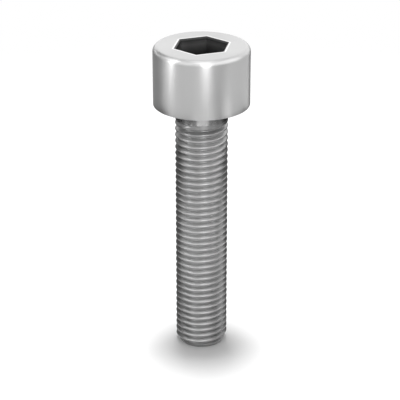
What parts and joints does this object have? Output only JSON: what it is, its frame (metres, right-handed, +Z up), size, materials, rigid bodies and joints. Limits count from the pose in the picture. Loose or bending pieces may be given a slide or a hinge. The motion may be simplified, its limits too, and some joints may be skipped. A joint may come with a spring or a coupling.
{
  "type": "hex socket cap screw",
  "caption": "Hexagon socket cap screw with a tall cylindrical head, a short plain neck and a fine thread down to a flat chamfered tip, standing on its tip.",
  "frame": {"origin": "centre of the flat tip that the screw stands on", "axes": "+Z up the screw's axis, towards its head; +X to the right and +Y away from a viewer in front"},
  "size_m": [0.0146, 0.0146, 0.0491],
  "materials": {
    "bright_steel": "satin"
  },
  "bodies": {
    "root": {"cap_screw": "bright_steel"}
  },
  "joints": []
}
